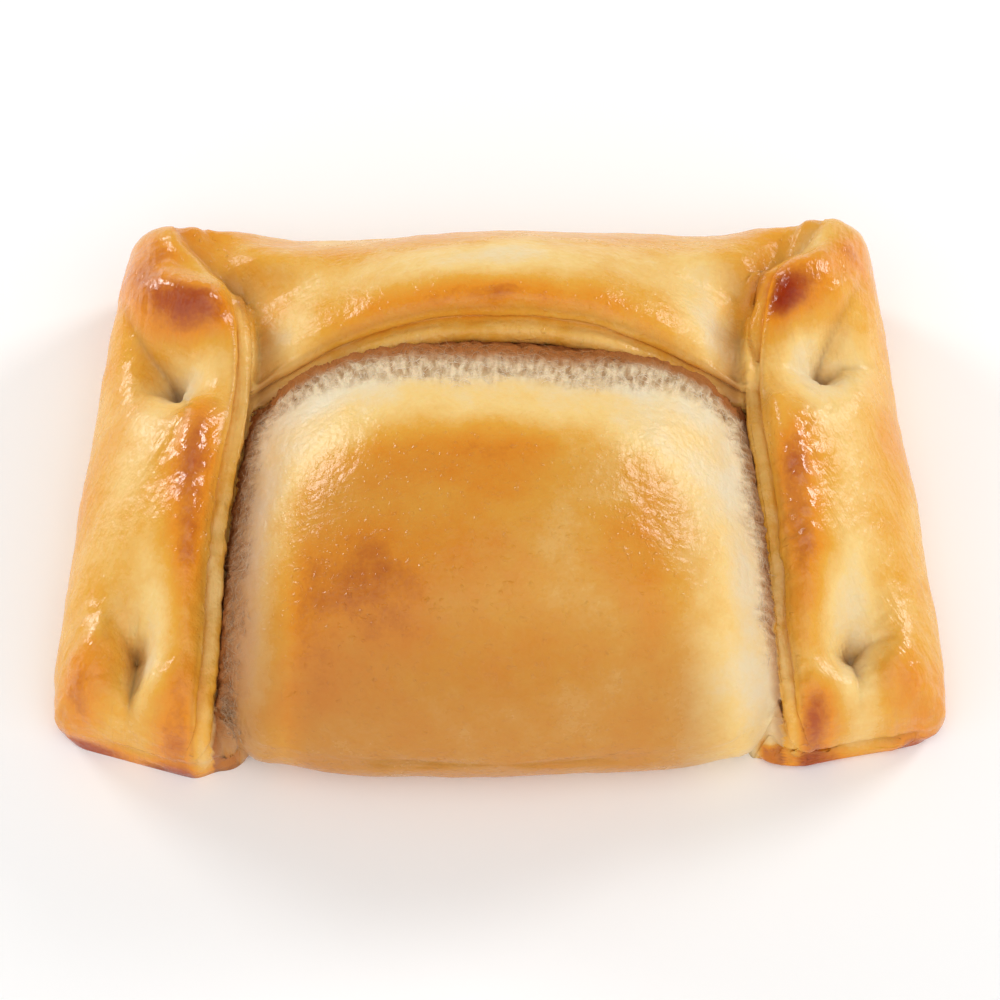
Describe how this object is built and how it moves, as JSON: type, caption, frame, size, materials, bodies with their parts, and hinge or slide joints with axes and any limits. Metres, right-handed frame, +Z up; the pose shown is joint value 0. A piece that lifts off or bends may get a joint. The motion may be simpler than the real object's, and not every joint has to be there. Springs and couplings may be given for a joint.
{
  "type": "empanada",
  "caption": "Baked folded empanada: a plump trapezoid parcel of golden crust with a domed belly framed by a back flap and side flaps folded over it.",
  "frame": {"origin": "centre of the bounding box's underside, on the surface that the empanada rests on", "axes": "+X to the right along the widest extent as seen from the rounded front fold, +Y from the front fold to the back flap, +Z up"},
  "size_m": [0.1506, 0.1038, 0.0468],
  "materials": {
    "crust": "baked golden dough, satin where the egg wash browned it and matte where the dough is pale"
  },
  "bodies": {
    "root": {"empanada": "crust"}
  },
  "joints": []
}
